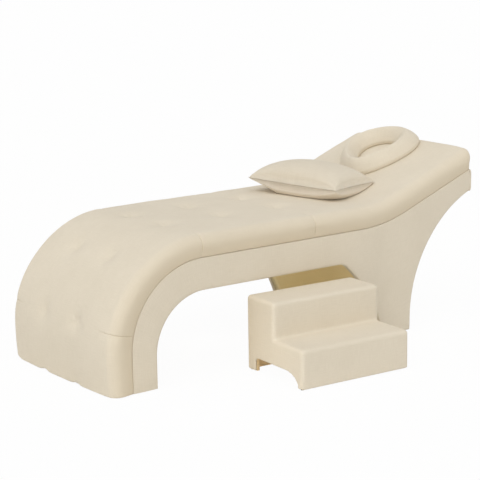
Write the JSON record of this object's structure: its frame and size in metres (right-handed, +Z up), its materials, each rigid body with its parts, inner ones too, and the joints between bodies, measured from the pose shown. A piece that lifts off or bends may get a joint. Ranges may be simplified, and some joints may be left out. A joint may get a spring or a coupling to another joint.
{
  "type": "beauty treatment bed",
  "caption": "Upholstered treatment bed that curves down to the floor at its foot and rises at its head, with a tufted mattress, a pillow, a ring face cushion and a padded step stool.",
  "frame": {"origin": "on the floor, in the middle of the foot end's floor strip, where the bed's foot end stands", "axes": "+X along the bed from the foot to the raised head, +Y across the bed away from the side with the step stool, +Z up"},
  "size_m": [1.9552, 1.1964, 0.8394],
  "materials": {
    "cream_fabric": "plain weave cotton in warm cream",
    "arch_fabric": "plain weave lining in cream",
    "plywood": "sanded plywood, unfinished",
    "timber": "planed softwood, unfinished",
    "foam": "cut foam and loose fibre",
    "screw_steel": "zinc plated steel",
    "skid_rubber": "matt black rubber",
    "twine": "waxed twine"
  },
  "bodies": {
    "bed": {"near_side_board": "plywood", "far_side_board": "plywood", "centre_rib": "plywood", "foot_rails": "timber", "band_rails": "timber", "leg_rails": "timber", "head_rail": "timber", "deck_board": "plywood", "arch_skin": "plywood", "leg_back_skin": "plywood", "frame_screws": "screw_steel", "foot_skid": "skid_rubber", "leg_skid": "skid_rubber", "near_side_pad": "cream_fabric", "far_side_pad": "cream_fabric", "leg_back_pad": "cream_fabric", "head_end_pad": "cream_fabric", "arch_lining": "arch_fabric", "mattress_core": "foam", "mattress_foot_panel": "cream_fabric", "mattress_curve_panel": "cream_fabric", "mattress_lounge_panel": "cream_fabric", "mattress_head_panel": "cream_fabric", "mattress_head_border": "cream_fabric", "tuft_buttons": "cream_fabric", "tuft_twines": "twine", "tuft_anchors": "screw_steel"},
    "face_ring": {"ring_cover": "cream_fabric", "ring_foam": "foam", "ring_base": "cream_fabric"},
    "pillow": {"pillow_top": "cream_fabric", "pillow_bottom": "cream_fabric", "pillow_filling": "foam"},
    "stool": {"stool_left_board": "plywood", "stool_right_board": "plywood", "stool_lower_riser": "plywood", "stool_upper_riser": "plywood", "stool_back_board": "plywood", "stool_lower_tread": "plywood", "stool_upper_tread": "plywood", "stool_corner_blocks": "timber", "stool_screws": "screw_steel", "stool_glides": "skid_rubber", "stool_left_padding": "cream_fabric", "stool_right_padding": "cream_fabric", "stool_front_padding": "cream_fabric", "stool_riser_padding": "cream_fabric", "stool_back_padding": "cream_fabric", "stool_lower_step_pad": "cream_fabric", "stool_upper_step_pad": "cream_fabric"}
  },
  "joints": [
    {"name": "stool_slide", "type": "slide", "parent": "bed", "child": "stool", "axis": [0.0698, 0.9976, 0], "range_m": [-0.15, 0.44]},
    {"name": "pillow_lift", "type": "slide", "parent": "bed", "child": "pillow", "axis": [0, 0, 1], "range_m": [0, 0.15]},
    {"name": "face_ring_lift", "type": "slide", "parent": "bed", "child": "face_ring", "axis": [-0.3469, 0, 0.9379], "range_m": [0, 0.15]}
  ]
}
